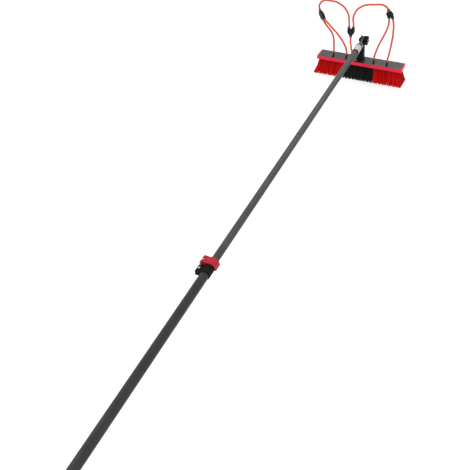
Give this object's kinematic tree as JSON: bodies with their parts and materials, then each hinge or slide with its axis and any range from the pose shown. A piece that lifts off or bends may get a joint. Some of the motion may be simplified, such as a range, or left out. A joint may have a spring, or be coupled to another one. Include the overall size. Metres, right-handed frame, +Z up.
{
  "type": "window cleaning pole",
  "caption": "Telescopic water-fed window cleaning pole with a lever clamp, a tilting hinge with a star knob, and a wide bristle brush fed by looped hoses.",
  "frame": {"origin": "on the floor, below the middle of the pole and brush together: the centre of the bounding box's bottom face without the hoses", "axes": "+Y along the pole from its foot to the brush, +X along the brush to the right seen from the foot, +Z up"},
  "size_m": [0.4295, 3.509, 0.373],
  "materials": {
    "dark_composite": "wrapped composite tube, satin, near black",
    "grey_composite": "wrapped composite tube, satin, dark grey",
    "black_plastic": "moulded black plastic, satin",
    "fitting_plastic": "moulded black fitting plastic, smooth",
    "seal_rubber": "black seal rubber",
    "brass_part": "turned brass",
    "slide_plastic": "natural low-friction plastic",
    "steel_part": "stainless steel",
    "red_plastic": "moulded crimson plastic, gloss",
    "white_plastic": "white plastic sleeve, satin, bare",
    "grey_plastic": "moulded dark grey plastic",
    "plate_plastic": "dark grey plate, satin",
    "collar_plastic": "dark grey release collars",
    "ring_plastic": "pale rings under the release collars",
    "red_bristle": "red synthetic bristle",
    "black_bristle": "black synthetic bristle",
    "hose_plastic": "flexible orange-red hose"
  },
  "bodies": {
    "lower_section": {"lower_tube": "dark_composite", "foot_cap": "black_plastic", "foot_seal": "seal_rubber", "inlet_nipple": "brass_part", "inlet_washer": "seal_rubber", "clamp_body": "black_plastic", "guide_bush": "slide_plastic", "tube_seal": "seal_rubber", "tension_bolt": "steel_part", "tension_nut": "steel_part", "barrel_pin": "steel_part", "fixing_screw": "steel_part", "fixing_nut": "steel_part"},
    "lever": {"clamp_lever": "red_plastic"},
    "upper_section": {"upper_tube": "grey_composite", "guide_plug": "slide_plastic", "piston_rings": "seal_rubber", "end_sleeve": "white_plastic", "end_ring": "black_plastic", "hinge_neck": "grey_plastic", "neck_pin": "steel_part", "neck_seal": "seal_rubber", "outlet_elbow": "fitting_plastic", "elbow_collar": "collar_plastic"},
    "knob_washer": {"thrust_washer": "steel_part"},
    "knob": {"star_knob": "black_plastic", "knob_insert": "brass_part"},
    "head": {"socket": "black_plastic", "socket_screws": "steel_part", "hinge_bolt": "steel_part", "friction_washers": "slide_plastic", "stock_body": "red_plastic", "top_plate": "plate_plastic", "bristles_left": "red_bristle", "bristles_centre": "black_bristle", "bristles_right": "red_bristle", "jet_a": "fitting_plastic", "jet_b": "fitting_plastic", "jet_c": "fitting_plastic", "jet_d": "fitting_plastic", "spray_tips": "brass_part", "centre_y": "fitting_plastic", "left_y": "fitting_plastic", "right_y": "fitting_plastic", "y_collars": "collar_plastic", "y_rings": "ring_plastic", "feed_hose": "hose_plastic", "loop_left": "hose_plastic", "loop_right": "hose_plastic", "drop_a": "hose_plastic", "drop_b": "hose_plastic", "drop_c": "hose_plastic", "drop_d": "hose_plastic"}
  },
  "joints": [
    {"name": "pole_slide", "type": "slide", "parent": "lower_section", "child": "upper_section", "axis": [0, 0.9989, 0.047], "range_m": [-1.43, 0.08]},
    {"name": "lever_swing", "type": "hinge", "parent": "lower_section", "child": "lever", "pos_m": [-0.025, 0.08533, 0.11324], "axis": [0, -0.9989, -0.047], "range_deg": [0, 110]},
    {"name": "head_tilt", "type": "hinge", "parent": "upper_section", "child": "head", "pos_m": [0, 1.70648, 0.18], "axis": [1, 0, 0], "range_deg": [-40, 60], "deforming": ["feed_hose"]},
    {"name": "knob_travel", "type": "slide", "parent": "head", "child": "knob_washer", "axis": [1, 0, 0], "range_m": [0, 0.00125]},
    {"name": "knob_turn", "type": "hinge", "parent": "knob_washer", "child": "knob", "pos_m": [0.012, 1.70648, 0.18], "axis": [1, 0, 0], "range_deg": [0, 360]}
  ],
  "couplings": [
    {"joint": "knob_travel", "follows": "knob_turn", "m_per_rad": 0.00019894}
  ]
}
